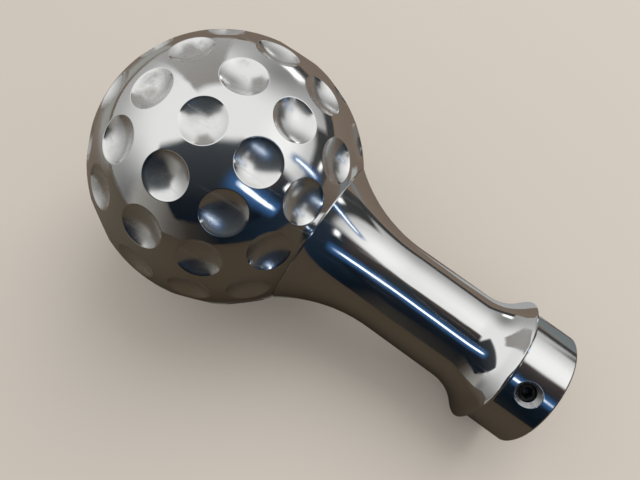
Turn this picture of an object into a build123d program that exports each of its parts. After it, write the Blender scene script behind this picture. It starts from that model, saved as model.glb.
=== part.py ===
from build123d import *
import math
import os

# Polished gear shift knob: a dimpled ball screwed onto a turned stem, clamped to the lever by one set screw.
# Millimetres. +Z runs up the lever axis to the ball, z = 0 is the collar's end face, the screw faces -Y.

# Ball
BALL_RADIUS = 27.5
BALL_CENTRE_HEIGHT = 75.3
SEAM_RADIUS = 16.1

# Dimples, cut by a ball-nosed tool, in rings round the axis: each ring's angle from the crown,
# its number of dimples and how far its first dimple is turned from -Y towards +X
DIMPLE_RIM_RADIUS = 4.1
DIMPLE_TOOL_RADIUS = 7.8
DIMPLE_RING_ANGLES = (0.0, 19.5, 41.0, 63.5, 88.0, 111.0, 133.0)
DIMPLE_RING_COUNTS = (1, 5, 10, 15, 16, 16, 12)
DIMPLE_RING_TURNS = (0.0, 6.5, 6.5, 15.8, 15.8, 15.8, 15.8)

# Lever bore
BORE_RADIUS = 6.0
BORE_DEPTH = 40.0
BORE_CHAMFER = 0.5

# Stem: walls of the waist and the collar round the bore, and the flange whose rim overhangs the collar.
# The slopes of the flare and of the nose at the rim are angles from the axis
WAIST_WALL = 3.65
COLLAR_WALL = 6.3
RIM_OVERHANG = 1.4
NECK_CURVE_RADIUS = 31.0
FLARE_CURVE_RADIUS = 9.0
FLARE_SLOPE = 45.0
NOSE_RADIUS = 2.2
NOSE_SLOPE = 27.0
RIM_EDGE_FILLET = 0.1
COVE_RADIUS = 1.0
COLLAR_LENGTH = 10.0
COLLAR_CHAMFER = 0.4
SEAM_EDGE_FILLET = 0.25

# Spigot that joins the stem to the ball
SPIGOT_RADIUS = 7.0
SPIGOT_LENGTH = 16.0
SPIGOT_CLEARANCE = 0.05
SPIGOT_END_GAP = 1.0
SPIGOT_CHAMFER = 0.8

# Set screw and its hole through the collar wall
SCREW_RADIUS = 1.65
SCREW_LENGTH = 5.0
SCREW_HEIGHT = 5.1
SCREW_TIP_CLEARANCE = 0.2
SCREW_FIT_CLEARANCE = 0.05
SCREW_END_CHAMFER = 0.35
SOCKET_WIDTH = 2.0
SOCKET_DEPTH = 2.2
CUP_RADIUS = 1.0
CUP_DEPTH = 0.5
COUNTERSINK_RADIUS = 2.6

# Radii and heights that follow from the sizes above
WAIST_RADIUS = BORE_RADIUS + WAIST_WALL
COLLAR_RADIUS = BORE_RADIUS + COLLAR_WALL
RIM_RADIUS = COLLAR_RADIUS + RIM_OVERHANG
SEAM_HEIGHT = BALL_CENTRE_HEIGHT - math.sqrt(BALL_RADIUS**2 - SEAM_RADIUS**2)
NECK_RISE = math.sqrt(NECK_CURVE_RADIUS**2 - (NECK_CURVE_RADIUS - (SEAM_RADIUS - WAIST_RADIUS)) ** 2)


def on_slope(radius, slope):
    """Across and up from the centre of an arc to its point where the turned surface has that slope."""
    return radius * math.cos(math.radians(slope)), radius * math.sin(math.radians(slope))


def circle_at(solid, radius, height):
    """The circular edge of that radius round the axis, at that height."""
    circles = solid.edges().filter_by(GeomType.CIRCLE)
    return circles.sort_by(lambda edge: abs(edge.radius - radius) + abs(edge.arc_center.Z - height))[0]


def radial_line(height):
    """Plane on the axis at that height whose normal points out along the screw, to -Y."""
    return Plane(origin=(0, 0, height), x_dir=(1, 0, 0), z_dir=(0, -1, 0))


def dimple_tools():
    """One ball-nosed tool per dimple, its centre outside the ball on the dimple's own radius."""
    rim_plane = math.sqrt(BALL_RADIUS**2 - DIMPLE_RIM_RADIUS**2)
    reach = rim_plane + math.sqrt(DIMPLE_TOOL_RADIUS**2 - DIMPLE_RIM_RADIUS**2)
    # Turned so that the sphere's own poles lie clear of the cup that it cuts
    tool = Pos(0, 0, reach) * Rot(90, 0, 0) * Sphere(DIMPLE_TOOL_RADIUS)
    tools = []
    for polar, count, turn in zip(DIMPLE_RING_ANGLES, DIMPLE_RING_COUNTS, DIMPLE_RING_TURNS):
        for index in range(count):
            azimuth = turn - 90 + index * 360 / count
            tools.append(Pos(0, 0, BALL_CENTRE_HEIGHT) * Rot(0, 0, azimuth) * Rot(0, polar, 0) * tool)
    return tools


def make_ball_head():
    """Ball with a flat seat, a blind hole for the spigot and rings of dimples."""
    ball = Pos(0, 0, BALL_CENTRE_HEIGHT) * Sphere(BALL_RADIUS)
    below_seat = Pos(0, 0, SEAM_HEIGHT) * Cylinder(
        BALL_RADIUS, BALL_RADIUS, align=(Align.CENTER, Align.CENTER, Align.MAX)
    )
    hole = Pos(0, 0, SEAM_HEIGHT) * Cylinder(
        SPIGOT_RADIUS + SPIGOT_CLEARANCE,
        SPIGOT_LENGTH + SPIGOT_END_GAP,
        align=(Align.CENTER, Align.CENTER, Align.MIN),
    )
    ball = ball - below_seat
    ball = fillet(circle_at(ball, SEAM_RADIUS, SEAM_HEIGHT), SEAM_EDGE_FILLET)
    return ball - hole - dimple_tools()


def stem_profile():
    """Half section of the stem before boring, radius along X and height along Y."""
    neck_start = SEAM_HEIGHT - NECK_RISE
    spigot_top = SEAM_HEIGHT + SPIGOT_LENGTH
    rim_edge = (RIM_RADIUS, COLLAR_LENGTH)
    edge_across, edge_up = on_slope(NOSE_RADIUS, NOSE_SLOPE)
    crown_across, crown_up = on_slope(NOSE_RADIUS, FLARE_SLOPE)
    nose_top = (RIM_RADIUS - edge_across + crown_across, COLLAR_LENGTH - edge_up + crown_up)
    flare_across, flare_up = on_slope(FLARE_CURVE_RADIUS, FLARE_SLOPE)
    flare_edge = WAIST_RADIUS + FLARE_CURVE_RADIUS - flare_across
    flare_foot = nose_top[1] + (nose_top[0] - flare_edge) / math.tan(math.radians(FLARE_SLOPE))
    flare_start = flare_foot + flare_up
    with BuildLine() as outline:
        Polyline(
            (0, spigot_top),
            (0, 0),
            (COLLAR_RADIUS, 0),
            (COLLAR_RADIUS, COLLAR_LENGTH),
            rim_edge,
        )
        RadiusArc(rim_edge, nose_top, -NOSE_RADIUS)
        Line(nose_top, (flare_edge, flare_foot))
        RadiusArc((flare_edge, flare_foot), (WAIST_RADIUS, flare_start), FLARE_CURVE_RADIUS)
        Line((WAIST_RADIUS, flare_start), (WAIST_RADIUS, neck_start))
        RadiusArc((WAIST_RADIUS, neck_start), (SEAM_RADIUS, SEAM_HEIGHT), NECK_CURVE_RADIUS)
        Polyline(
            (SEAM_RADIUS, SEAM_HEIGHT),
            (SPIGOT_RADIUS, SEAM_HEIGHT),
            (SPIGOT_RADIUS, spigot_top),
            (0, spigot_top),
        )
    return make_face(outline.line)


def make_stem():
    """Turned neck, flange and collar in one piece, with the lever bore and the screw hole."""
    stem = revolve(Plane.XZ * stem_profile(), Axis.Z)
    stem = fillet(circle_at(stem, SEAM_RADIUS, SEAM_HEIGHT), SEAM_EDGE_FILLET)
    stem = fillet(circle_at(stem, RIM_RADIUS, COLLAR_LENGTH), RIM_EDGE_FILLET)
    stem = fillet(circle_at(stem, COLLAR_RADIUS, COLLAR_LENGTH), COVE_RADIUS)
    stem = chamfer(circle_at(stem, COLLAR_RADIUS, 0), COLLAR_CHAMFER)
    stem = chamfer(circle_at(stem, SPIGOT_RADIUS, SEAM_HEIGHT + SPIGOT_LENGTH), SPIGOT_CHAMFER)
    stem -= Cylinder(BORE_RADIUS, BORE_DEPTH, align=(Align.CENTER, Align.CENTER, Align.MIN))
    stem = chamfer(circle_at(stem, BORE_RADIUS, 0), BORE_CHAMFER)
    hole_radius = SCREW_RADIUS + SCREW_FIT_CLEARANCE
    outward = (Align.CENTER, Align.CENTER, Align.MIN)
    hole = radial_line(SCREW_HEIGHT) * Cylinder(hole_radius, COLLAR_RADIUS, align=outward)
    countersink_depth = COUNTERSINK_RADIUS - hole_radius
    countersink = (
        radial_line(SCREW_HEIGHT)
        * Pos(0, 0, COLLAR_RADIUS - countersink_depth)
        * Cone(hole_radius, COUNTERSINK_RADIUS, countersink_depth, align=outward)
    )
    return stem - hole - countersink


def make_set_screw():
    """Cup-point set screw with a hexagon socket in its outer end."""
    outward = (Align.CENTER, Align.CENTER, Align.MIN)
    inward = (Align.CENTER, Align.CENTER, Align.MAX)
    screw = Cylinder(SCREW_RADIUS, SCREW_LENGTH, align=outward)
    ends = screw.edges().filter_by(GeomType.CIRCLE)
    screw = chamfer(ends, SCREW_END_CHAMFER)
    hexagon = RegularPolygon(SOCKET_WIDTH / 2, 6, major_radius=False)
    screw -= Pos(0, 0, SCREW_LENGTH) * extrude(hexagon, -SOCKET_DEPTH)
    screw -= Pos(0, 0, CUP_DEPTH) * Cone(CUP_RADIUS, 0, CUP_DEPTH, align=inward)
    return radial_line(SCREW_HEIGHT) * Pos(0, 0, BORE_RADIUS + SCREW_TIP_CLEARANCE) * screw


def main():
    os.makedirs("parts", exist_ok=True)
    pieces = {
        "ball_head": make_ball_head(),
        "stem": make_stem(),
        "set_screw": make_set_screw(),
    }
    for name, piece in pieces.items():
        export_step(piece, f"parts/{name}.step")


main()
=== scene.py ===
import math

import bmesh
import bpy
from bpy.props import FloatProperty, FloatVectorProperty, IntProperty, PointerProperty
from bpy.types import Operator, Panel, PropertyGroup
from mathutils import Matrix, Vector


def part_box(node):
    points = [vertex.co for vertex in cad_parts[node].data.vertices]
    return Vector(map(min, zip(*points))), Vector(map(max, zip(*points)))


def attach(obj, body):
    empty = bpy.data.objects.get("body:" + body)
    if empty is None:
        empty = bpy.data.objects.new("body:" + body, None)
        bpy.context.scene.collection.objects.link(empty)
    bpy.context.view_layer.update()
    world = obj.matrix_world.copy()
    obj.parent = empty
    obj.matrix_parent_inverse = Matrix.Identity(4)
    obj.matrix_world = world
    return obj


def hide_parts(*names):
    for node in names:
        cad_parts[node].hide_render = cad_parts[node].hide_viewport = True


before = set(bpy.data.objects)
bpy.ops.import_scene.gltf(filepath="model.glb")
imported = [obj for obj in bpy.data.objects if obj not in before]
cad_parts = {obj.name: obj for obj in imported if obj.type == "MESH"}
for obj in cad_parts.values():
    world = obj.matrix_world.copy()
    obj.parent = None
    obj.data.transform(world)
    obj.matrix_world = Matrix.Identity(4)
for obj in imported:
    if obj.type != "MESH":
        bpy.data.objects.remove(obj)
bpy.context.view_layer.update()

bl_info = {
    "name": "Dimpled gear knob",
    "version": (1, 0, 0),
    "blender": (4, 5, 0),
    "location": "3D View > Sidebar > Gear knob",
    "description": "Builds a polished gear shift knob with a dimpled ball on its packed frame",
    "category": "Add Mesh",
}

# The seam between ball and stem, read from the packed solids
SEAM_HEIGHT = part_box("ball_head")[0].z

# Dimple rings: angle from the crown, number of dimples, turn of the first from -Y towards +X, dullness
DIMPLE_RINGS = (
    (0.0, 1, 0.0, 0.5),
    (19.5, 5, 6.5, 0.5),
    (41.0, 10, 6.5, 0.8),
    (63.5, 15, 15.8, 1.0),
    (88.0, 16, 15.8, 0.35),
    (111.0, 16, 15.8, 0.15),
    (133.0, 12, 15.8, 0.1),
)

# Dullness within a ring: the least share of the ring's own, and the step of its wave from dimple to dimple
DULL_LEAST = 0.35
DULL_STEP = 1.7

# Angles from a dimple's axis, in degrees, within which its cell and all its neighbours lie
CELL_REACH = 35
NEIGHBOUR_REACH = 50

# Rows of faces over a dimple: bowl, rounded lip, and shares of the plain ball out to the next dimple
BOWL_ROWS = 10
LIP_ROWS = 5
PLAIN_ROWS = (0.0, 0.06, 0.3, 0.65, 1.0)
SEAM_ROWS = 4

# Faces round the stem, and rows of faces along its outline
STEM_SEGMENTS = 240
BORE_ROWS = 12
END_ROWS = 6
COVE_ROWS = 8
EDGE_ROWS = 6
NOSE_ROWS = 6
FLARE_ROWS = 22
WAIST_ROWS = 16
NECK_ROWS = 30

# Rounding of the collar's chamfered edges, as a share of the chamfer
CHAMFER_ROUNDING = 0.25

# Openings that the screw's hole leaves in collar and bore: faces across and up, and margins round the hole
OPENING_COLUMNS = 24
OPENING_ROWS = 12
COLLAR_MARGIN = 0.0007
BORE_MARGIN = 0.0009

# Rows from each opening's edge to the hole, as shares of the way out from the hole
COLLAR_FACE_SHARES = (0.75, 0.5, 0.28, 0.1)
BORE_FACE_SHARES = (0.4, 0.75)

# Countersink: places on its edge, outwards and down in shares of the edge's rounding, and rows down its cone
COUNTERSINK_EDGE = ((1.0, 0.0), (0.4, 0.05), (0.0, 0.22), (-0.45, 0.6))
CONE_SHARES = (0.35, 0.65, 0.93, 1.0)

# Threads: rows over one turn, rows in which a thread fades in, and the share of the hole that is tapped
HOLE_TURN_ROWS = 8
HOLE_FADE_ROWS = 4
HOLE_TAPPED = 0.96
SCREW_TURN_ROWS = 10
SCREW_FADE_ROWS = 6

# Socket of the set screw: bevel at its mouth and depth of the drill's cone in its floor
SOCKET_BEVEL = 0.00012
SOCKET_CONE = 0.0004

# Distance of a support row beside a rounding, and distance within which points are merged
SUPPORT = 0.00006
MERGE = 2e-7

# Angles in degrees past which an edge is shaded sharp
STEM_SHARP = 40
SCREW_SHARP = 35

# Noise patterns of the finishes: scale per metre, detail and roughness
HAZE_NOISE = (90.0, 4.0, 0.6)
RESIDUE_NOISE = (260.0, 5.0, 0.65)
RIPPLE_NOISE = (210.0, 1.0, 0.4)
RUBBED_NOISE = (1500.0, 4.0, 0.6)
MILL_NOISE = (5000.0, 3.0, 0.6)
SCRATCH_NOISE = (1.0, 2.0, 0.5)
TURNING_NOISE = (1.0, 3.0, 0.7)

# Spans of those patterns, or of a mesh attribute, over which the mark fades in
HAZE_SPAN = (0.45, 0.75)
RESIDUE_SPAN = (0.42, 0.68)
RUBBED_SPAN = (0.5, 0.78)
SCRATCH_SPAN = (0.66, 0.72)
TURNING_SPAN = (0.5, 0.8)
# The countersink's mask carries its roughness and its colour of cut metal and painted shade
CUT_AND_SHADE_SPAN = (0.3, 0.9)
STAIN_SPAN = (0.0, 0.5)
SATIN_SPAN = (0.0, 0.25)

# Scratches in three directions: fineness across, and turn of the grain. Then their fineness along the grain
SCRATCHES = ((900.0, (0.3, 0.2, 0.5)), (1200.0, (1.1, 0.4, 2.1)), (1000.0, (2.0, 1.3, 0.8)))
SCRATCH_ALONG = 45.0
TURNING_STRETCH = (12.0, 12.0, 5200.0)

# Bumps: strength and height
RIPPLE_BUMP = (1.0, 1.2e-5)
SCRATCH_BUMP = (0.25, 2e-6)
MILL_BUMP = (0.4, 1.5e-5)

# Stage: the point that the cards stand round, faces of a card and of the ring, reach of the floor
STAGE_MIDDLE = Vector((0, 0, 0.055))
CARD_ROWS = 17
CARD_COLUMNS = 33
RING_COLUMNS = 96
FLOOR_REACH = 4.0
SENSOR_WIDTH = 36.0
CLIP_START = 0.005

# Heights of the sheets above the floor, which keep them clear of it and of each other
WIDE_SHEET_LIFT = 0.0002
SMALL_SHEET_LIFT = 0.0004

# Sine of the lift above the floor at which the soft light is full
SKY_FULL = 0.75

# Dark card in front of the knob: share of its width and its colour there, in its lower and upper part
DARK_CARD_LOW = (
    (0.0, (0.030, 0.045, 0.070)),
    (0.3, (0.010, 0.022, 0.042)),
    (0.5, (0.004, 0.009, 0.016)),
    (0.66, (0.050, 0.045, 0.039)),
    (0.75, (0.130, 0.122, 0.114)),
    (0.84, (0.290, 0.290, 0.280)),
    (1.0, (0.480, 0.480, 0.470)),
)
DARK_CARD_HIGH = (
    (0.0, (0.115, 0.100, 0.100)),
    (0.2, (0.050, 0.046, 0.052)),
    (0.3, (0.014, 0.028, 0.052)),
    (0.5, (0.005, 0.011, 0.021)),
    (0.75, (0.014, 0.016, 0.020)),
    (0.9, (0.060, 0.053, 0.050)),
    (1.0, (0.150, 0.135, 0.130)),
)

# Shares of the dark card's height between which its lower part passes into its upper part
DARK_CARD_STEP = (0.43, 0.57)

# Dark card beside the camera, from its lower to its upper edge
NEAR_CARD = (
    (0.0, (0.003, 0.006, 0.012)),
    (0.40, (0.008, 0.011, 0.016)),
    (0.62, (0.024, 0.029, 0.033)),
    (0.80, (0.036, 0.041, 0.046)),
    (1.0, (0.058, 0.066, 0.074)),
)

# Wide sheet under the knob, a painted reflection of a darker, shaded floor that only reflections see, once
# round it from below the stem by way of the far side
SHADED_FLOOR_REFLECTION = (
    (0.0, (0.060, 0.050, 0.040)),
    (0.10, (0.165, 0.130, 0.105)),
    (0.52, (0.165, 0.130, 0.105)),
    (0.64, (0.090, 0.076, 0.058)),
    (0.78, (0.062, 0.046, 0.031)),
    (1.0, (0.060, 0.048, 0.036)),
)

# Strip lights: spans along a strip where its core fades in and out, span across it, and level of its glow
STRIP_START = (0.05, 0.40)
STRIP_END = (0.97, 0.70)
STRIP_CORE = (0.88, 1.0)
GLOW_LEVEL = 0.8


# Settings


def length(name, default, description):
    """A size in metres for a property group."""
    return FloatProperty(name=name, description=description, default=default, precision=5, unit="LENGTH")


def slope(name, degrees, description):
    """An angle for a property group, its default given in degrees."""
    return FloatProperty(name=name, description=description, default=math.radians(degrees), subtype="ANGLE")


def amount(name, default, description):
    """A plain number from 0 upwards for a property group."""
    return FloatProperty(name=name, description=description, default=default, min=0.0)


def colour(name, default, description):
    """A linear colour for a property group."""
    return FloatVectorProperty(
        name=name, description=description, default=default, size=3, subtype="COLOR", min=0.0, max=1.0
    )


def direction(name, default, description):
    """A direction for a property group."""
    return FloatVectorProperty(name=name, description=description, default=default, subtype="DIRECTION")


class BallSettings(PropertyGroup):
    """Sizes of the dimpled ball."""

    radius: length("Ball radius", 0.0275, "Radius of the ball outside its dimples")
    centre: length("Centre height", 0.0753, "Height of the ball's centre above the collar's end")
    seam_edge: length("Seam edge", 0.00012, "Rounding of the ball's edge at the seam")
    rim: length("Dimple radius", 0.0041, "Radius of a dimple's rim")
    tool: length("Tool radius", 0.0078, "Radius of the ball-nosed tool that cuts a dimple")
    lip: length("Lip rounding", 0.0003, "Rounding that the polish leaves on a dimple's rim")
    lowest: slope("Last latitude", 143.0, "Angle from the crown where the dimpled part ends above the seam")
    step: length("Net step", 0.0006, "Spacing of the net's points along the lines between dimples")
    hole: length("Spigot hole", 0.00705, "Radius of the hole for the stem's spigot")
    hole_depth: length("Hole depth", 0.017, "Depth of the hole for the stem's spigot")


class StemSettings(PropertyGroup):
    """Sizes of the turned stem."""

    seam: length("Seam radius", 0.0161, "Radius where the stem meets the ball")
    seam_edge: length("Seam edge", 0.00016, "Rounding of the stem's edge at the seam")
    waist: length("Waist radius", 0.00965, "Radius of the straight waist")
    neck_curve: length("Neck curve", 0.031, "Radius of the curve from the waist up to the seam")
    flare_curve: length("Flare curve", 0.009, "Radius of the curve from the waist down to the flange")
    flare_slope: slope("Flare slope", 45.0, "Slope from the axis at which the flare runs out to the rim")
    rim: length("Flange radius", 0.0137, "Radius of the flange's rim")
    nose: length("Rim nose", 0.0022, "Radius of the nose between the flare and the rim's edge")
    nose_slope: slope("Nose slope", 27.0, "Slope from the axis at which the nose meets the rim's edge")
    rim_edge: length("Rim edge", 0.00006, "Rounding of the rim's edge")
    cove: length("Cove", 0.001, "Hollow rounding between the collar and the flange")
    collar: length("Collar radius", 0.0123, "Radius of the collar")
    collar_length: length("Collar length", 0.01, "Length of the collar below the flange")
    chamfer: length("Collar chamfer", 0.0004, "Chamfer at the collar's end")
    bore: length("Bore radius", 0.006, "Radius of the lever bore")
    bore_depth: length("Bore depth", 0.04, "Depth of the lever bore")
    bore_chamfer: length("Bore chamfer", 0.0005, "Chamfer at the mouth of the bore")
    spigot: length("Spigot radius", 0.007, "Radius of the spigot in the ball")
    spigot_length: length("Spigot length", 0.016, "Length of the spigot above the seam")
    spigot_chamfer: length("Spigot chamfer", 0.0008, "Chamfer at the spigot's end")


class ScrewSettings(PropertyGroup):
    """Sizes of the set screw and its tapped hole."""

    height: length("Screw height", 0.0051, "Height of the screw's axis above the collar's end")
    radius: length("Screw radius", 0.00165, "Radius over the screw's thread")
    body: length("Screw length", 0.005, "Length of the screw")
    tip: length("Tip radius", 0.0062, "Distance of the screw's tip from the knob's axis")
    end_chamfer: length("End chamfer", 0.00035, "Chamfer at both ends of the screw")
    socket: length("Socket width", 0.002, "Width of the hexagon socket across its flats")
    socket_depth: length("Socket depth", 0.0022, "Depth of the hexagon socket")
    cup: length("Cup radius", 0.001, "Radius of the cup in the screw's tip")
    cup_depth: length("Cup depth", 0.0005, "Depth of the cup in the screw's tip")
    hole: length("Hole radius", 0.0017, "Radius inside the hole's thread")
    countersink: length("Countersink radius", 0.0026, "Radius of the countersink at the collar's surface")
    edge: length("Countersink edge", 0.0001, "Rounding of the countersink's edges")
    pitch: length("Thread pitch", 0.0007, "Distance between the turns of the thread")
    thread: length("Thread depth", 0.0002, "Depth of the thread's groove")
    segments: IntProperty(name="Segments", description="Faces round the screw", default=72, min=12)


class FinishSettings(PropertyGroup):
    """Colours and wear of the finishes."""

    metal: colour("Polished metal", (0.91, 0.92, 0.92), "Colour of the clean polished metal")
    stain: colour("Polish residue", (0.62, 0.61, 0.59), "Colour of the dull residue left in the dimples")
    # The countersink's colour is partly the unpolished metal's own and partly painted shade in its recess
    cut: colour("Cut metal", (0.46, 0.47, 0.48), "Colour of the countersink, which isn't polished")
    screw: colour("Black oxide", (0.035, 0.035, 0.038), "Colour of the blackened screw")
    screw_wear: colour("Worn oxide", (0.16, 0.15, 0.14), "Colour where the screw's black is rubbed thin")
    gloss: amount("Polish", 0.06, "Roughness of the clean polish")
    haze: amount("Haze", 0.12, "Roughness of the wiped haze on the polish")
    scratch: amount("Scratches", 0.16, "Roughness of the fine scratches")
    residue: amount("Residue", 0.32, "Roughness that the dull residue adds")
    turning: amount("Turning marks", 0.10, "Dullness of the fine rings that turning leaves")
    satin: amount("Satin bowls", 0.14, "Roughness that the tool leaves in the dimples")
    machined: amount("Machined", 0.18, "Roughness of the countersink, which isn't polished")
    oxide: amount("Oxide", 0.42, "Roughness of the screw's black")
    rubbed: amount("Rubbed oxide", 0.27, "Roughness where the screw's black is rubbed thin")
    screw_metal: amount("Oxide metal", 0.85, "Metallic share of the screw's black")


class StageSettings(PropertyGroup):
    """Camera, floor and light."""

    camera: FloatVectorProperty(
        name="Camera",
        description="Place of the camera",
        default=(0.013860, -0.106094, 0.045842),
        subtype="TRANSLATION",
        unit="LENGTH",
    )
    forward: direction("Forward", (-0.13734, 0.98889, 0.05690), "Direction that the camera looks in")
    up: direction("Up", (0.81004, 0.07907, 0.58102), "Direction of the picture's upper edge")
    lens: FloatProperty(name="Lens", description="Focal length in mm on a 36 mm sensor", default=29.329)
    floor_up: direction("Floor up", (0.49594, -0.84353, 0.20620), "Upward direction of the floor")
    floor: colour("Floor", (0.60, 0.55, 0.495), "Colour of the floor")
    middle_height: length("Middle height", 0.02331, "Height of the knob's middle above the floor")
    sky: colour("Soft light", (0.97, 0.965, 0.95), "Colour of the soft light all round")
    sky_top: amount("Overhead level", 0.84, "Level of the soft light from above")
    sky_low: amount("Low level", 0.40, "Level of the soft light from the sides")
    lamp: colour("Lamp", (1.0, 0.98, 0.95), "Colour of the lamp")
    lamp_power: amount("Lamp power", 3.8, "Power of the lamp in watts")
    lamp_size: length("Lamp size", 0.7, "Width of the lamp")
    lamp_distance: length("Lamp distance", 0.9, "Distance of the lamp from the knob")
    lamp_turn: slope("Lamp turn", 50.0, "Angle of the lamp round the floor, from straight away to the right")
    lamp_lift: slope("Lamp lift", 55.0, "Angle of the lamp above the floor")
    side_card: colour("Side card", (0.06, 0.065, 0.07), "Colour of the low card that edges the knob")
    grey_card: colour("Grey card", (0.49, 0.50, 0.52), "Colour of the grey card behind the knob")
    strip: colour("Strip light", (0.85, 0.93, 1.0), "Colour of the narrow strip lights")
    strip_glow: colour("Strip glow", (0.05, 0.15, 0.36), "Colour of the glow beside a strip light")
    near_ahead: length("Near cards", 0.025, "Distance of the near cards in front of the camera")
    # Painted dark reflection along the collar, from a sheet beside the stem that only reflections see
    painted_dark_reflection: colour("Dark sheet", (0.15, 0.17, 0.18), "Colour of the dark sheet beside the stem")
    # Painted reflection that lightens the flange's top, from a sheet that only reflections see
    painted_flange_reflection: colour("Pale sheet", (0.36, 0.37, 0.38), "Colour of the grey sheet beside the flange")
    # Painted sheen of the floor to the left of the ball, from a sheet that only reflections see
    painted_floor_sheen: colour("Left sheet", (0.30, 0.30, 0.285), "Colour of the pale sheet to the left of the ball")
    # Wide sheet of painted floor reflection, with an opening below the knob
    wide_reach: length("Wide reach", 1.8, "Radius of the wide sheet round the knob")
    open_ball: length("Opening at ball", 0.018, "Radius of the wide sheet's opening below the ball")
    open_stem: length("Opening at stem", 0.005, "Half width of the wide sheet's opening below the stem")
    open_length: length("Opening length", 0.075, "Length of the wide sheet's opening below the stem")


# Mesh helpers


def new_object(name, data):
    """A new object in the scene for a mesh, a camera or a lamp."""
    made = bpy.data.objects.new(name, data)
    bpy.context.scene.collection.objects.link(made)
    return made


def dress(piece, body, node):
    """Ties a finished piece to its body and hides its packed node."""
    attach(piece, body)
    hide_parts(node)


def bmesh_to_mesh(bm, name):
    """Closes a bmesh into a smooth mesh whose faces point outwards."""
    bmesh.ops.remove_doubles(bm, verts=bm.verts, dist=MERGE)
    bmesh.ops.recalc_face_normals(bm, faces=bm.faces)
    for face in bm.faces:
        face.smooth = True
    mesh = bpy.data.meshes.new(name)
    bm.to_mesh(mesh)
    bm.free()
    return mesh


def around(items):
    """Each item of a closed row with the one after it."""
    return zip(items, [*items[1:], items[0]])


def join_rows(bm, lower, upper):
    """Quads between two closed rows of as many points, or a fan where the upper row is one point."""
    if len(upper) == 1:
        for start, end in around(lower):
            bm.faces.new((start, end, upper[0]))
        return
    for (start, end), (over_start, over_end) in zip(around(lower), around(upper)):
        bm.faces.new((start, end, over_end, over_start))


def arc(centre, radius, start, end, steps):
    """Points (across, up) on an arc, both ends included."""
    points = []
    for index in range(steps + 1):
        angle = start + (end - start) * index / steps
        points.append((centre[0] + radius * math.cos(angle), centre[1] + radius * math.sin(angle)))
    return points


def rounded_corner(corner, arrive, leave, radius, steps=4):
    """Fillet points at a corner between two unit directions, with a support point at either end."""
    corner, arrive, leave = Vector(corner), Vector(arrive).normalized(), Vector(leave).normalized()
    turn = arrive.angle_signed(leave)
    trim = radius * math.tan(abs(turn) / 2)
    start = corner - arrive * trim
    side = Vector((arrive.y, -arrive.x)) * math.copysign(1, turn)
    centre = start + side * radius
    points = [tuple(start - arrive * SUPPORT)]
    for index in range(steps + 1):
        spoke = -side
        spoke.rotate(Matrix.Rotation(-turn * index / steps, 2))
        points.append(tuple(centre + spoke * radius))
    points.append(tuple(corner + leave * (trim + SUPPORT)))
    return points


def along(start, end, steps):
    """Points strictly between two points of an outline."""
    start, end = Vector(start), Vector(end)
    return [tuple(start.lerp(end, index / steps)) for index in range(1, steps)]


# Node helpers


def node(tree, kind, **settings):
    """A node with its settings: property names as they are, input sockets by in_NAME or in_INDEX."""
    made = tree.nodes.new(kind)
    for name, value in settings.items():
        if not name.startswith("in_"):
            setattr(made, name, value)
    for name, value in settings.items():
        if name.startswith("in_"):
            key = name[3:]
            socket = made.inputs[int(key) if key.isdigit() else key.replace("_", " ")]
            if isinstance(value, bpy.types.NodeSocket):
                tree.links.new(value, socket)
            else:
                socket.default_value = value
    return made


def maths(tree, operation, first, second=0.0):
    """Output of one sum on numbers or sockets."""
    return node(tree, "ShaderNodeMath", operation=operation, in_0=first, in_1=second).outputs[0]


def ramp(tree, value, low, high, to_low=0.0, to_high=1.0):
    """A value taken from one range to another and held inside it."""
    return node(
        tree, "ShaderNodeMapRange", interpolation_type="SMOOTHSTEP", in_Value=value, in_From_Min=low,
        in_From_Max=high, in_To_Min=to_low, in_To_Max=to_high,
    ).outputs[0]


def tint(tree, share, first, second):
    """Colour between two colours or sockets."""
    mixed = node(tree, "ShaderNodeMix", data_type="RGBA", in_0=share)
    for index, value in ((6, first), (7, second)):
        if isinstance(value, bpy.types.NodeSocket):
            tree.links.new(value, mixed.inputs[index])
        else:
            mixed.inputs[index].default_value = (*value, 1.0)
    return mixed.outputs[2]


def noise(tree, coordinates, pattern, stretch=None, turn=(0.0, 0.0, 0.0)):
    """Noise over the piece's own coordinates, with a stretch and a turn where a grain needs them."""
    scale, detail, roughness = pattern
    if stretch:
        coordinates = node(
            tree, "ShaderNodeMapping", in_Vector=coordinates, in_Rotation=turn, in_Scale=stretch
        ).outputs[0]
    return node(
        tree, "ShaderNodeTexNoise", in_Vector=coordinates, in_Scale=scale, in_Detail=detail,
        in_Roughness=roughness,
    ).outputs[0]


# Dimpled ball


def dimple_axes():
    """Direction and dullness of every dimple, ring by ring."""
    axes = []
    for polar, count, turn, dull in DIMPLE_RINGS:
        for index in range(count):
            azimuth = math.radians(turn + index * 360 / count)
            tilt = math.radians(polar)
            axis = Vector(
                (math.sin(tilt) * math.sin(azimuth), -math.sin(tilt) * math.cos(azimuth), math.cos(tilt))
            )
            wave = 0.5 + 0.5 * math.sin(DULL_STEP * index + polar)
            axes.append((axis, dull * (DULL_LEAST + (1 - DULL_LEAST) * wave)))
    return axes


def dimple_section(ball):
    """Section through one dimple: bowl centre, bowl angle, lip centre (out, across) and lip angle."""
    reach = math.sqrt(ball.radius**2 - ball.rim**2) + math.sqrt(ball.tool**2 - ball.rim**2)
    inner = ball.radius - ball.lip
    outer = ball.tool + ball.lip
    out = (inner**2 - outer**2 + reach**2) / (2 * reach)
    across = math.sqrt(inner**2 - out**2)
    return reach, math.atan2(across, reach - out), (out, across), math.atan2(across, out)


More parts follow.
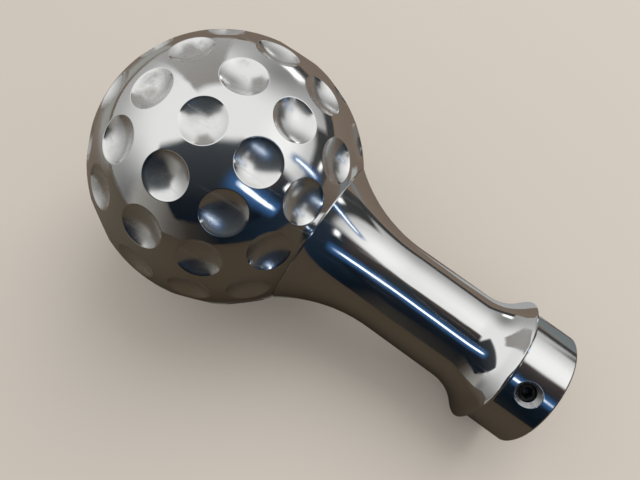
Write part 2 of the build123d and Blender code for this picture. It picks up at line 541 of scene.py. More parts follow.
def cell_corners(index, axes):
    """Corners, as directions, of the part of the sphere that is nearer to one dimple than to any other."""
    axis = axes[index][0]
    first = axis.orthogonal().normalized()
    second = axis.cross(first)
    reach = math.tan(math.radians(CELL_REACH))
    eighth = math.pi / 4
    corners = [Vector((reach * math.cos(k * eighth), reach * math.sin(k * eighth))) for k in range(8)]
    for other, (neighbour, _) in enumerate(axes):
        if other == index or axis.dot(neighbour) < math.cos(math.radians(NEIGHBOUR_REACH)):
            continue
        wall = axis - neighbour
        here, rise = wall.dot(axis), Vector((wall.dot(first), wall.dot(second)))
        kept = []
        for start, end in around(corners):
            at_start, at_end = here + rise.dot(start), here + rise.dot(end)
            if at_start >= 0:
                kept.append(start)
            if (at_start >= 0) != (at_end >= 0):
                kept.append(start.lerp(end, at_start / (at_start - at_end)))
        corners = kept
    return [(axis + first * corner.x + second * corner.y).normalized() for corner in corners]


def latitude_crossing(high, low, limit):
    """Direction where the arc between two directions comes down to a height, found by halving."""
    near, far = 0.0, 1.0
    for _ in range(60):
        middle = (near + far) / 2
        if high.slerp(low, middle).z >= limit:
            near = middle
        else:
            far = middle
    return high.slerp(low, near)


def cut_at_latitude(corners, lowest):
    """A cell cut off at the last latitude, with the number of the corner where the cut begins, if any."""
    limit = math.cos(lowest)
    kept, cut_at = [], None
    for start, end in around(corners):
        inside = start.z >= limit
        if inside:
            kept.append(start)
        if inside != (end.z >= limit):
            high, low = (start, end) if inside else (end, start)
            kept.append(latitude_crossing(high, low, limit))
            if inside:
                cut_at = len(kept) - 1
    return kept, cut_at


def cell_outline(index, axes, ball):
    """Points round one dimple's cell, evenly along each side and the same for both neighbours."""
    corners, cut_at = cut_at_latitude(cell_corners(index, axes), ball.lowest)
    points = []
    for number, (start, end) in enumerate(around(corners)):
        steps = max(1, int(start.angle(end) * ball.radius / ball.step + 0.5))
        if number == cut_at:
            turn = Vector((start.x, start.y)).angle_signed(Vector((end.x, end.y)))
            for step in range(steps):
                points.append(Matrix.Rotation(-turn * step / steps, 3, "Z") @ start)
        else:
            forwards = (start.z, start.x, start.y) < (end.z, end.x, end.y)
            low, high = (start, end) if forwards else (end, start)
            side = [low, *(low.slerp(high, step / steps) for step in range(1, steps)), high]
            points += (side if forwards else side[::-1])[:-1]
    return points


def dimple_net(ball):
    """The ball's surface as a net of one cell per dimple, closed by its seat and the spigot's hole.

    Each point keeps its dimple's axis, its own direction across that axis and its ring: 0 in the bowl's
    middle, 1 where the lip begins, 2 where the lip ends and more on the plain ball.
    """
    bm = bmesh.new()
    axis_layer = bm.verts.layers.float_vector.new("axis")
    across_layer = bm.verts.layers.float_vector.new("across")
    ring_layer = bm.verts.layers.float.new("ring")
    bowl_layer = bm.verts.layers.float.new("bowl")
    dull_layer = bm.verts.layers.float.new("dull")
    middle = Vector((0, 0, ball.centre))
    lip_angle = dimple_section(ball)[3]
    axes = dimple_axes()

    def place(axis, across, angle, ring, dull):
        vert = bm.verts.new(middle + (axis * math.cos(angle) + across * math.sin(angle)) * ball.radius)
        vert[axis_layer], vert[across_layer], vert[ring_layer] = axis, across, ring
        vert[bowl_layer] = max(0.0, 1.0 - ring * ring)
        vert[dull_layer] = dull if ring < 2 else 0.0
        return vert

    rings = [k / BOWL_ROWS for k in range(1, BOWL_ROWS + 1)]
    rings += [1 + k / LIP_ROWS for k in range(1, LIP_ROWS)]
    for index, (axis, dull) in enumerate(axes):
        outline = cell_outline(index, axes, ball)
        spokes = [(point - axis * axis.dot(point)).normalized() for point in outline]
        reaches = [axis.angle(point) for point in outline]
        rows = [[place(axis, spokes[0], 0.0, 0.0, dull)]]
        for ring in rings:
            rows.append([place(axis, spoke, lip_angle * ring / 2, ring, dull) for spoke in spokes])
        for share in PLAIN_ROWS:
            rows.append(
                [place(axis, spoke, lip_angle + (reach - lip_angle) * share, 2 + share, dull)
                 for spoke, reach in zip(spokes, reaches)]
            )
        join_rows(bm, rows[1], rows[0])
        for inner, outer in zip(rows[1:], rows[2:]):
            join_rows(bm, inner, outer)
    bmesh.ops.remove_doubles(bm, verts=bm.verts, dist=MERGE)
    close_ball(bm, ball, ring_layer)
    return bmesh_to_mesh(bm, "dimple_net")


def close_ball(bm, ball, ring_layer):
    """Carries the net's open edge round the seam's edge, over the flat seat and up the spigot's hole."""
    edge = {vert for side in bm.edges if side.is_boundary for vert in side.verts}
    row = sorted(edge, key=lambda vert: math.atan2(vert.co.y, vert.co.x))
    angles = [math.atan2(vert.co.y, vert.co.x) for vert in row]
    inner = ball.radius - ball.seam_edge
    drop = ball.centre - SEAM_HEIGHT - ball.seam_edge
    fillet = (math.sqrt(inner**2 - drop**2), SEAM_HEIGHT + ball.seam_edge)
    touch = math.atan2(-drop, fillet[0])
    last = math.pi / 2 - ball.lowest
    outline = arc((0, ball.centre), ball.radius, last, touch, SEAM_ROWS)[1:-1]
    outline += arc(fillet, ball.seam_edge, touch, -math.pi / 2, SEAM_ROWS)
    roof = SEAM_HEIGHT + ball.hole_depth
    outline += [(fillet[0] - SUPPORT, SEAM_HEIGHT), (ball.hole, SEAM_HEIGHT), (ball.hole, roof), (0, roof)]
    for reach, height in outline:
        places = [Vector((reach * math.cos(a), reach * math.sin(a), height)) for a in angles]
        if reach == 0:
            places = places[:1]
        following = [bm.verts.new(place) for place in places]
        for vert in following:
            vert[ring_layer] = 3.0
        join_rows(bm, row, following)
        row = following


def dimple_tree():
    """Geometry Nodes that press a bowl with a rounded lip into every cell of the net."""
    tree = bpy.data.node_groups.new("Press dimples", "GeometryNodeTree")
    tree.is_modifier = True
    sockets = tree.interface
    sockets.new_socket("Net", in_out="INPUT", socket_type="NodeSocketGeometry")
    sockets.new_socket("Ball centre", in_out="INPUT", socket_type="NodeSocketVector")
    for name in ("Bowl centre", "Bowl radius", "Bowl angle"):
        sockets.new_socket(name, in_out="INPUT", socket_type="NodeSocketFloat")
    for name in ("Lip out", "Lip across", "Lip radius", "Lip angle"):
        sockets.new_socket(name, in_out="INPUT", socket_type="NodeSocketFloat")
    sockets.new_socket("Polish", in_out="INPUT", socket_type="NodeSocketMaterial")
    sockets.new_socket("Ball", in_out="OUTPUT", socket_type="NodeSocketGeometry")
    given = node(tree, "NodeGroupInput").outputs

    def attribute(name, kind):
        read = node(tree, "GeometryNodeInputNamedAttribute", data_type=kind, in_Name=name)
        return read.outputs["Attribute"]

    def times(first, second):
        return maths(tree, "MULTIPLY", first, second)

    def plus(first, second):
        return maths(tree, "ADD", first, second)

    def minus(first, second):
        return maths(tree, "SUBTRACT", first, second)

    def on_circle(operation, radius, angle):
        return times(radius, maths(tree, operation, angle))

    def bowl_or_lip(bowl_value, lip_value):
        return node(
            tree, "GeometryNodeSwitch", input_type="FLOAT", in_Switch=on_lip, in_False=bowl_value,
            in_True=lip_value,
        ).outputs[0]

    def scaled(name, factor):
        return node(
            tree, "ShaderNodeVectorMath", operation="SCALE", in_0=attribute(name, "FLOAT_VECTOR"),
            in_Scale=factor,
        ).outputs[0]

    def sum_of(first, second):
        return node(tree, "ShaderNodeVectorMath", operation="ADD", in_0=first, in_1=second).outputs[0]

    ring = attribute("ring", "FLOAT")
    on_lip = maths(tree, "GREATER_THAN", ring, 1.0)
    pressed = maths(tree, "LESS_THAN", ring, 2.0)
    bowl = times(ring, given["Bowl angle"])
    bowl_out = minus(given["Bowl centre"], on_circle("COSINE", given["Bowl radius"], bowl))
    bowl_across = on_circle("SINE", given["Bowl radius"], bowl)
    swing = times(minus(ring, 1.0), plus(given["Bowl angle"], given["Lip angle"]))
    lip = minus(swing, given["Bowl angle"])
    lip_out = plus(given["Lip out"], on_circle("COSINE", given["Lip radius"], lip))
    lip_across = plus(given["Lip across"], on_circle("SINE", given["Lip radius"], lip))
    outwards = scaled("axis", bowl_or_lip(bowl_out, lip_out))
    sideways = scaled("across", bowl_or_lip(bowl_across, lip_across))
    place = sum_of(given["Ball centre"], sum_of(outwards, sideways))
    moved = node(
        tree, "GeometryNodeSetPosition", in_Geometry=given["Net"], in_Selection=pressed, in_Position=place
    )
    smooth = node(tree, "GeometryNodeSetShadeSmooth", in_Geometry=moved.outputs[0])
    real = node(tree, "GeometryNodeRealizeInstances", in_Geometry=smooth.outputs[0])
    clad = node(tree, "GeometryNodeSetMaterial", in_Geometry=real.outputs[0], in_Material=given["Polish"])
    node(tree, "NodeGroupOutput", in_Ball=clad.outputs[0])
    return tree


def evaluate_nodes(piece, tree, values):
    """Runs a node tree on a piece with inputs by name and keeps the result as its plain mesh."""
    modifier = piece.modifiers.new(tree.name, "NODES")
    modifier.node_group = tree
    for item in tree.interface.items_tree:
        if item.in_out == "INPUT" and item.name in values:
            modifier[item.identifier] = values[item.name]
    graph = bpy.context.evaluated_depsgraph_get()
    made = bpy.data.meshes.new_from_object(
        piece.evaluated_get(graph), preserve_all_data_layers=True, depsgraph=graph
    )
    piece.modifiers.remove(modifier)
    net = piece.data
    piece.data = made
    bpy.data.meshes.remove(net)


# Turned stem


def add_opening(points, reach, start, end):
    """Adds an opening's even rows to an outline and gives the numbers of its first and last row."""
    first = len(points)
    points += [(reach, start), *along((reach, start), (reach, end), OPENING_ROWS), (reach, end)]
    return first, first + OPENING_ROWS


def flange_outline(stem):
    """Section from the cove over the flange's rim and nose and up the flare to the waist."""
    nose_centre = (
        stem.rim - stem.nose * math.cos(stem.nose_slope),
        stem.collar_length - stem.nose * math.sin(stem.nose_slope),
    )
    nose_top = arc(nose_centre, stem.nose, stem.flare_slope, stem.flare_slope, 1)[0]
    flare_edge = stem.waist + stem.flare_curve * (1 - math.cos(stem.flare_slope))
    flare_run = (nose_top[0] - flare_edge) / math.tan(stem.flare_slope)
    flare_top = nose_top[1] + flare_run + stem.flare_curve * math.sin(stem.flare_slope)
    points = rounded_corner((stem.collar, stem.collar_length), (0, 1), (1, 0), stem.cove, COVE_ROWS)
    leave = (-math.sin(stem.nose_slope), math.cos(stem.nose_slope))
    points += rounded_corner((stem.rim, stem.collar_length), (1, 0), leave, stem.rim_edge, EDGE_ROWS)
    begin = math.atan2(points[-1][1] - nose_centre[1], points[-1][0] - nose_centre[0])
    points += arc(nose_centre, stem.nose, begin, stem.flare_slope, NOSE_ROWS)[1:]
    centre = (stem.waist + stem.flare_curve, flare_top)
    return points + arc(centre, stem.flare_curve, stem.flare_slope - math.pi, -math.pi, FLARE_ROWS)


def neck_outline(stem):
    """Section from the waist up the neck, round the seam's edge and over the spigot to the axis."""
    neck_rise = math.sqrt(stem.neck_curve**2 - (stem.neck_curve - (stem.seam - stem.waist)) ** 2)
    neck_angle = math.asin(neck_rise / stem.neck_curve)
    arrive = (math.sin(neck_angle), math.cos(neck_angle))
    corner = rounded_corner((stem.seam, SEAM_HEIGHT), arrive, (-1, 0), stem.seam_edge, EDGE_ROWS)
    centre = (stem.waist + stem.neck_curve, SEAM_HEIGHT - neck_rise)
    end = math.atan2(corner[0][1] - centre[1], corner[0][0] - centre[0])
    spigot_top = SEAM_HEIGHT + stem.spigot_length
    return [
        *arc(centre, stem.neck_curve, math.pi, end, NECK_ROWS)[:-1],
        *corner,
        (stem.spigot, SEAM_HEIGHT),
        (stem.spigot, spigot_top - stem.spigot_chamfer),
        (stem.spigot - stem.spigot_chamfer, spigot_top),
        (0, spigot_top),
    ]


def stem_outline(stem, screw):
    """Section of the stem from the bore's roof round to the spigot's end, with the rows of both openings."""
    points = [(0, stem.bore_depth), (stem.bore, stem.bore_depth)]
    half = screw.hole + BORE_MARGIN
    low, high = screw.height - half, screw.height + half
    points += along((stem.bore, stem.bore_depth), (stem.bore, high), BORE_ROWS)
    bore_rows = add_opening(points, stem.bore, high, low)
    points += [(stem.bore, stem.bore_chamfer), (stem.bore + stem.bore_chamfer, 0)]
    points += along((stem.bore + stem.bore_chamfer, 0), (stem.collar - stem.chamfer, 0), END_ROWS)
    bevel, rounding = (1, 1), stem.chamfer * CHAMFER_ROUNDING
    points += rounded_corner((stem.collar - stem.chamfer, 0), (1, 0), bevel, rounding)
    points += rounded_corner((stem.collar, stem.chamfer), bevel, (0, 1), rounding)
    half = screw.countersink + COLLAR_MARGIN
    collar_rows = add_opening(points, stem.collar, screw.height - half, screw.height + half)
    points += flange_outline(stem)
    neck = neck_outline(stem)
    points += [*along(points[-1], neck[0], WAIST_ROWS), *neck]
    return points, bore_rows, collar_rows


def turn_outline(bm, outline, openings):
    """Spins an outline round the axis, leaving out the faces of each opening at -Y. Returns the rows."""
    rows = []
    for reach, height in outline:
        count = STEM_SEGMENTS if reach > 0 else 1
        row = []
        for index in range(count):
            angle = -math.pi / 2 + 2 * math.pi * index / STEM_SEGMENTS
            row.append(bm.verts.new((reach * math.cos(angle), reach * math.sin(angle), height)))
        rows.append(row)
    half = OPENING_COLUMNS // 2
    for number, (lower, upper) in enumerate(zip(rows, rows[1:])):
        if len(lower) == 1:
            join_rows(bm, upper, lower)
        elif any(first <= number < last for first, last in openings):
            for index in range(half, STEM_SEGMENTS - half):
                after = index + 1
                bm.faces.new((lower[index], lower[after], upper[after], upper[index]))
        else:
            join_rows(bm, lower, upper)
    return rows


def opening_edge(rows, opening):
    """The points round one opening, from its lower -X corner, by way of +X."""
    first, last = opening
    if rows[first][0].co.z > rows[last][0].co.z:
        rows, first, last = rows[::-1], len(rows) - 1 - last, len(rows) - 1 - first
    half = OPENING_COLUMNS // 2
    edge = [rows[first][column] for column in range(-half, half)]
    edge += [rows[row][half] for row in range(first, last)]
    edge += [rows[last][column] for column in range(half, -half, -1)]
    edge += [rows[row][-half] for row in range(last, first, -1)]
    return edge


# Tapped hole and set screw


def bearing(vert, screw):
    """Angle of a point round the screw's axis."""
    return math.atan2(vert.co.z - screw.height, vert.co.x)


def round_point(bm, screw, radius, angle, depth):
    """A new point round the screw's axis, at a distance from the knob's axis."""
    return bm.verts.new((radius * math.cos(angle), -depth, screw.height + radius * math.sin(angle)))


def on_wall(wall, x, z):
    """Place on the -Y side of a round wall."""
    return Vector((x, -math.sqrt(wall**2 - x**2), z))


def thread_wave(turns):
    """Height of a thread's section, 0 on the crest and 1 at the root, with short flats on both."""
    phase = turns - math.floor(turns)
    return min(1.0, max(0.0, 1.35 * (1 - abs(2 * phase - 1)) - 0.2))


def countersink_mouth(angle, stem, screw):
    """Radius at which the countersink's cone meets the collar's round surface, found step by step."""
    reach = screw.countersink
    for _ in range(20):
        fall = stem.collar - math.sqrt(stem.collar**2 - (reach * math.cos(angle)) ** 2)
        reach = screw.countersink - fall
    return reach


def face_row(bm, edge, wall, radii, share, screw):
    """Points on a wall between the hole, at share 0, and an opening's edge, at share 1."""
    row = []
    for vert, radius in zip(edge, radii):
        angle = bearing(vert, screw)
        x = radius * math.cos(angle) * (1 - share) + vert.co.x * share
        z = radius * math.sin(angle) * (1 - share) + (vert.co.z - screw.height) * share
        row.append(bm.verts.new(on_wall(wall, x, z + screw.height)))
    return row


def countersink_rows(bm, angles, mouths, stem, screw):
    """Rows over the countersink's rounded edge and down its cone, which is marked as machined: rougher, and
    darker in a colour that is partly cut metal and partly painted shade.
    """
    section = [(screw.edge + SUPPORT, 0.0)]
    section += [(screw.edge * outside, screw.edge * sunk) for outside, sunk in COUNTERSINK_EDGE]
    rows = []
    for outside, sunk in section:
        row = []
        for angle, mouth in zip(angles, mouths):
            x, z = (mouth + outside) * math.cos(angle), (mouth + outside) * math.sin(angle)
            row.append(bm.verts.new(on_wall(stem.collar, x, z + screw.height) + Vector((0, sunk, 0))))
        rows.append(row)
    for share in CONE_SHARES:
        row = []
        for angle, mouth in zip(angles, mouths):
            top = mouth + section[-1][0]
            radius = top + (screw.hole - top) * share
            row.append(round_point(bm, screw, radius, angle, stem.collar - (screw.countersink - radius)))
        rows.append(row)
    machined = bm.verts.layers.float.get("machined")
    for row in rows[len(section) - 1:]:
        for vert in row:
            vert[machined] = 1.0
    return rows


def tapped_rows(bm, start, end, stem, screw):
    """Rows down the hole from the countersink to the bore, with a helical thread."""
    floor = stem.collar - (screw.countersink - screw.hole)
    steps = int((floor - stem.bore) / screw.pitch * HOLE_TURN_ROWS)
    rows = []
    for number in range(1, steps + 1):
        share = number / steps
        row = []
        for first, last in zip(start, end):
            angle = first + (last - first) * share
            bottom = math.sqrt(stem.bore**2 - (screw.hole * math.cos(angle)) ** 2)
            depth = floor + (bottom - floor) * share
            radius = screw.hole
            if share < HOLE_TAPPED:
                groove = thread_wave(depth / screw.pitch - angle / (2 * math.pi)) * screw.thread
                radius += groove * min(1, number / HOLE_FADE_ROWS)
            row.append(round_point(bm, screw, radius, angle, depth))
        rows.append(row)
    for vert in rows[-1]:
        vert.co.y = -math.sqrt(stem.bore**2 - vert.co.x**2)
    return rows


def tapped_hole(bm, collar_edge, bore_edge, stem, screw):
    """Joins the openings in collar and bore by a countersunk hole with a helical thread."""
    start = [bearing(vert, screw) for vert in collar_edge]
    end = [bearing(vert, screw) for vert in bore_edge]
    mouths = [countersink_mouth(angle, stem, screw) for angle in start]
    outside = [mouth + screw.edge for mouth in mouths]
    inside = [screw.hole] * len(bore_edge)
    rows = [collar_edge]
    rows += [face_row(bm, collar_edge, stem.collar, outside, share, screw) for share in COLLAR_FACE_SHARES]
    rows += countersink_rows(bm, start, mouths, stem, screw)
    rows += tapped_rows(bm, start, end, stem, screw)
    rows += [face_row(bm, bore_edge, stem.bore, inside, share, screw) for share in BORE_FACE_SHARES]
    rows.append(bore_edge)
    for outer, inner in zip(rows, rows[1:]):
        join_rows(bm, outer, inner)


def screw_mesh(screw):
    """The set screw: hexagon socket, threaded body and cup point, along -Y."""
    bm = bmesh.new()
    angles = [2 * math.pi * index / screw.segments for index in range(screw.segments)]

    def row(radius_at, depth):
        return [round_point(bm, screw, radius_at(angle), angle, screw.tip + depth) for angle in angles]

    def plain_row(radius, depth):
        return row(lambda angle: radius, depth)

    def hexagon_row(apothem, depth):
        sixth = math.pi / 3
        return row(lambda angle: apothem / math.cos((angle + sixth / 2) % sixth - sixth / 2), depth)

    def threaded_row(depth, fade):
        turns = (screw.tip + depth) / screw.pitch
        deep = screw.thread * fade
        return row(lambda angle: screw.radius - thread_wave(turns - angle / (2 * math.pi)) * deep, depth)

    def centre(depth):
        return [bm.verts.new((0, -(screw.tip + depth), screw.height))]

    half = screw.socket / 2
    floor = screw.body - screw.socket_depth
    mouth = screw.body - SOCKET_BEVEL
    rows = [centre(floor - SOCKET_CONE)]
    rows += [hexagon_row(half, depth) for depth in (floor, floor + SUPPORT, mouth - SUPPORT, mouth)]
    rows.append(hexagon_row(half + SOCKET_BEVEL, screw.body))
    shoulder = screw.radius - screw.end_chamfer
    rows.append(plain_row(shoulder - SUPPORT / 2, screw.body))
    rows.append(plain_row(shoulder, screw.body - SUPPORT / 4))
    top, bottom = screw.body - screw.end_chamfer, screw.end_chamfer
    steps = int((top - bottom) / screw.pitch * SCREW_TURN_ROWS)
    for number in range(steps + 1):
        fade = min(1, number / SCREW_FADE_ROWS, (steps - number) / SCREW_FADE_ROWS)
        rows.append(threaded_row(top + (bottom - top) * number / steps, fade))
    rows.append(plain_row(shoulder, 0.0))
    rows.append(plain_row(screw.cup, 0.0))
    rows.append(plain_row(screw.cup - SUPPORT, SUPPORT))
    rows.append(centre(screw.cup_depth))
    join_rows(bm, rows[1], rows[0])
    for lower, upper in zip(rows[1:], rows[2:]):
        join_rows(bm, lower, upper)
    return bmesh_to_mesh(bm, "set_screw_black")


# Finishes


def metal_material(name, metallic):
    """A new metal: its material, its node tree, its shader and the piece's own coordinates."""
    material = bpy.data.materials.new(name)
    material.use_nodes = True
    tree = material.node_tree
    shader = tree.nodes["Principled BSDF"]
    shader.inputs["Metallic"].default_value = metallic
    return material, tree, shader, node(tree, "ShaderNodeTexCoord").outputs["Object"]


def mesh_value(tree, name):
    """A value that the mesh carries at each point."""
    return node(tree, "ShaderNodeAttribute", attribute_name=name).outputs["Fac"]


def bump(tree, shape, height, **settings):
    """Normal of a bump of a given strength and height."""
    strength, distance = shape
    made = node(
        tree, "ShaderNodeBump", in_Strength=strength, in_Distance=distance, in_Height=height, **settings
    )
    return made.outputs[0]


def ball_wear(tree, spot, finish):
    """Wear of the ball: colour, dullness from residue in the dimples, and the bowls' satin roughness."""
    bowl = mesh_value(tree, "bowl")
    worn = maths(tree, "MULTIPLY", mesh_value(tree, "dull"), ramp(tree, bowl, *STAIN_SPAN))
    dull = maths(tree, "MULTIPLY", worn, ramp(tree, noise(tree, spot, RESIDUE_NOISE), *RESIDUE_SPAN))
    satin = maths(tree, "MULTIPLY", ramp(tree, bowl, *SATIN_SPAN), finish.satin)
    return tint(tree, dull, finish.metal, finish.stain), dull, satin


def stem_wear_and_shade(tree, spot, finish):
    """Wear and painted shade of the stem: colour, with the countersink darker as partly cut metal and partly
    painted shade, dullness of the turning marks, and roughness of the countersink.
    """
    rings = noise(tree, spot, TURNING_NOISE, TURNING_STRETCH)
    dull = maths(tree, "MULTIPLY", ramp(tree, rings, *TURNING_SPAN), finish.turning)
    # The countersink's darker colour: partly cut metal, partly painted shade in its recess
    cut = ramp(tree, mesh_value(tree, "machined"), *CUT_AND_SHADE_SPAN)
    satin = maths(tree, "MULTIPLY", cut, finish.machined)
    return tint(tree, cut, tint(tree, dull, finish.metal, finish.stain), finish.cut), dull, satin


def polished_metal(name, finish, wear_and_shade):
    """Hand-polished metal: clean mirror, wiped haze and fine scratches, with the wear of its piece and, on
    the stem, the countersink's painted shade.
    """
    material, tree, shader, spot = metal_material(name, 1.0)
    scratches = 0.0
    for across, turn in SCRATCHES:
        stretch = (across, SCRATCH_ALONG, SCRATCH_ALONG)
        grain = ramp(tree, noise(tree, spot, SCRATCH_NOISE, stretch, turn), *SCRATCH_SPAN)
        scratches = maths(tree, "MAXIMUM", grain, scratches)
    shade, dull, satin = wear_and_shade(tree, spot, finish)
    tree.links.new(shade, shader.inputs["Base Color"])
    rough = ramp(tree, noise(tree, spot, HAZE_NOISE), *HAZE_SPAN, finish.gloss, finish.haze)
    rough = maths(tree, "MAXIMUM", rough, maths(tree, "MULTIPLY", scratches, finish.scratch))
    rough = maths(tree, "ADD", rough, maths(tree, "MULTIPLY", dull, finish.residue))
    rough = maths(tree, "ADD", rough, satin)
    tree.links.new(rough, shader.inputs["Roughness"])
    waves = bump(tree, RIPPLE_BUMP, noise(tree, spot, RIPPLE_NOISE))
    tree.links.new(bump(tree, SCRATCH_BUMP, scratches, in_Normal=waves), shader.inputs["Normal"])
    return material


def black_oxide(finish):
    """Blackened steel, rubbed thinner in places, with a fine mill grain."""
    material, tree, shader, spot = metal_material("black_oxide", finish.screw_metal)
    rubbed = ramp(tree, noise(tree, spot, RUBBED_NOISE), *RUBBED_SPAN)
    tree.links.new(tint(tree, rubbed, finish.screw, finish.screw_wear), shader.inputs["Base Color"])
    rough = ramp(tree, rubbed, 0.0, 1.0, finish.oxide, finish.rubbed)
    tree.links.new(rough, shader.inputs["Roughness"])
    tree.links.new(bump(tree, MILL_BUMP, noise(tree, spot, MILL_NOISE)), shader.inputs["Normal"])
    return material


# Stage


def stage_axes(stage):
    """The floor's own directions: up, away from the camera along the floor, and to the right."""
    up = Vector(stage.floor_up).normalized()
    forward = Vector(stage.forward)
    away = (forward - up * up.dot(forward)).normalized()
    return up, away, away.cross(up)


def bearing_to(stage, turn, lift):
    """Direction at a turn round the floor, 0 away from the camera, and a lift above it, in degrees."""
    up, away, right = stage_axes(stage)
    turn, lift = math.radians(turn), math.radians(lift)
    return up * math.sin(lift) + (away * math.cos(turn) + right * math.sin(turn)) * math.cos(lift)


def stage_object(name, points, rows, material):
    """A sheet of rows by columns of points with a UV map."""
    columns = len(points) // rows
    bm = bmesh.new()
    layer = bm.loops.layers.uv.new("UVMap")
    verts = [bm.verts.new(point) for point in points]
    for row in range(rows - 1):
        for column in range(columns - 1):
            corners = ((row, column), (row, column + 1), (row + 1, column + 1), (row + 1, column))
            face = bm.faces.new([verts[r * columns + c] for r, c in corners])
            for loop, (r, c) in zip(face.loops, corners):
                loop[layer].uv = (c / (columns - 1), r / (rows - 1))
    mesh = bpy.data.meshes.new(name)
    bm.to_mesh(mesh)
    bm.free()
    mesh.materials.append(material)
    made = new_object(name, mesh)
    return made


def card_points(stage, turns, lifts, distance):
    """Points of a curved card round the knob between two turns and two lifts above the floor."""
    points = []
    for row in range(CARD_ROWS):
        lift = lifts[0] + (lifts[1] - lifts[0]) * row / (CARD_ROWS - 1)
        for column in range(CARD_COLUMNS):
            turn = turns[0] + (turns[1] - turns[0]) * column / (CARD_COLUMNS - 1)
            points.append(STAGE_MIDDLE + bearing_to(stage, turn, lift) * distance)
    return points


def near_points(stage, start, end, width, ahead):
    """Corners of a flat card beside the camera, along a line given by places to its right and above it."""
    forward, up = Vector(stage.forward), Vector(stage.up)
    right = forward.cross(up)
    middle = Vector(stage.camera) + forward * (stage.near_ahead + ahead)
    line = (Vector(end) - Vector(start)).normalized()
    side = Vector((-line.y, line.x)) * (width / 2)
    corners = (Vector(start) + side, Vector(start) - side, Vector(end) + side, Vector(end) - side)
    return [middle + right * corner.x + up * corner.y for corner in corners]


def sheet_points(stage, corners):
    """Corners of a sheet just above the floor, by their places right of the knob's middle and beyond it."""
    up, away, right = stage_axes(stage)
    middle = STAGE_MIDDLE - up * (stage.middle_height - SMALL_SHEET_LIFT)
    return [middle + right * across + away * beyond for across, beyond in corners]


def ring_points(stage, ball):
    """Inner and outer edge of the wide sheet of painted floor reflection round the knob, open below its ball
    and its stem.
    """
    up = stage_axes(stage)[0]
    middle = Vector((0, 0, ball.centre)) - up * (ball.radius - WIDE_SHEET_LIFT)
    along_stem = Vector((0, 0, -1))
    along_stem = (along_stem - up * up.dot(along_stem)).normalized()
    beside_stem = up.cross(along_stem)
    inner, outer = [], []
    for column in range(RING_COLUMNS + 1):
        angle = 2 * math.pi * column / RING_COLUMNS
        spoke = along_stem * math.cos(angle) + beside_stem * math.sin(angle)
        reach = stage.open_ball
        if math.cos(angle) > 0:
            reach = max(reach, min(stage.open_length, stage.open_stem / max(abs(math.sin(angle)), 1e-6)))
        inner.append(middle + spoke * reach)
        outer.append(middle + spoke * stage.wide_reach)
    return inner + outer


def bare_material(name):
    """A new material with an empty node tree."""
    material = bpy.data.materials.new(name)
    material.use_nodes = True
    material.node_tree.nodes.clear()
    return material, material.node_tree


def soft_mask(tree, margin_u, margin_v):
    """1 inside a card's UV square, falling softly to 0 at its four edges, and the card's UV sockets."""
    split = node(tree, "ShaderNodeSeparateXYZ", in_0=node(tree, "ShaderNodeUVMap", uv_map="UVMap").outputs[0])
    edges = []
    for socket, margin in ((split.outputs[0], margin_u), (split.outputs[1], margin_v)):
        near = maths(tree, "MINIMUM", socket, maths(tree, "SUBTRACT", 1.0, socket))
        edges.append(ramp(tree, near, 0.0, margin))
    return maths(tree, "MULTIPLY", *edges), split.outputs


def card_material(name, shader_of, margins):
    """A soft-edged card: its own shader inside, clear at its edges."""
    material, tree = bare_material(name)
    mask, uv = soft_mask(tree, *margins)
    clear = node(tree, "ShaderNodeBsdfTransparent").outputs[0]
    mixed = node(tree, "ShaderNodeMixShader", in_0=mask, in_1=clear, in_2=shader_of(tree, uv, mask))
    node(tree, "ShaderNodeOutputMaterial", in_Surface=mixed.outputs[0])
    return material


def graded_row(tree, place, row):
    """Colours along one row of a graded card."""
    bands = node(tree, "ShaderNodeValToRGB", in_0=place)
    while len(bands.color_ramp.elements) < len(row):
        bands.color_ramp.elements.new(0.5)
    for element, (share, shade) in zip(bands.color_ramp.elements, row):
        element.position = share
        element.color = (*shade, 1.0)
    return bands.outputs[0]


def matt(tree, shade):
    """Output of a plain matt shader."""
    return node(tree, "ShaderNodeBsdfDiffuse", in_Color=shade).outputs[0]


def glowing(tree, shade, level=1.0):
    """Output of a plain light-giving shader."""
    return node(tree, "ShaderNodeEmission", in_Color=shade, in_Strength=level).outputs[0]


def plain_card(shade):
    """Shader of an evenly coloured card."""
    return lambda tree, uv, mask: matt(tree, (*shade, 1.0))


def light_card(shade, level):
    """Shader of an evenly lit card."""
    return lambda tree, uv, mask: glowing(tree, (*shade, 1.0), level)


def dark_card(tree, uv, mask):
    """Shader of the dark card, from blue-black to a pale grey at its far end."""
    upper = ramp(tree, uv[1], *DARK_CARD_STEP)
    low, high = (graded_row(tree, uv[0], row) for row in (DARK_CARD_LOW, DARK_CARD_HIGH))
    return matt(tree, tint(tree, upper, low, high))


def shaded_floor_reflection_card(tree, uv, mask):
    """Shader of the wide sheet under the knob: a painted reflection of a darker, shaded floor, darker still
    below the stem and round its last third.
    """
    return matt(tree, graded_row(tree, uv[0], SHADED_FLOOR_REFLECTION))


def near_card(tree, uv, mask):
    """Shader of the dark card beside the camera."""
    return glowing(tree, graded_row(tree, uv[1], NEAR_CARD))


def strip_card(stage, level):
    """Shader of a strip light with a bright core and a coloured glow beside it."""

    def shader(tree, uv, mask):
        ends = maths(tree, "MULTIPLY", ramp(tree, uv[1], *STRIP_START), ramp(tree, uv[1], *STRIP_END))
        core = maths(tree, "MULTIPLY", ramp(tree, mask, *STRIP_CORE), ends)
        shade = tint(tree, core, stage.strip_glow, stage.strip)
        return glowing(tree, shade, ramp(tree, core, 0.0, 1.0, GLOW_LEVEL, level))

    return shader


def make_card(name, shader, margins, points, rows):
    """A soft-edged card or sheet that only reflections see."""
    card = stage_object(name, points, rows, card_material(name, shader, margins))
    card.visible_camera = False
    card.visible_diffuse = False
    card.visible_shadow = False


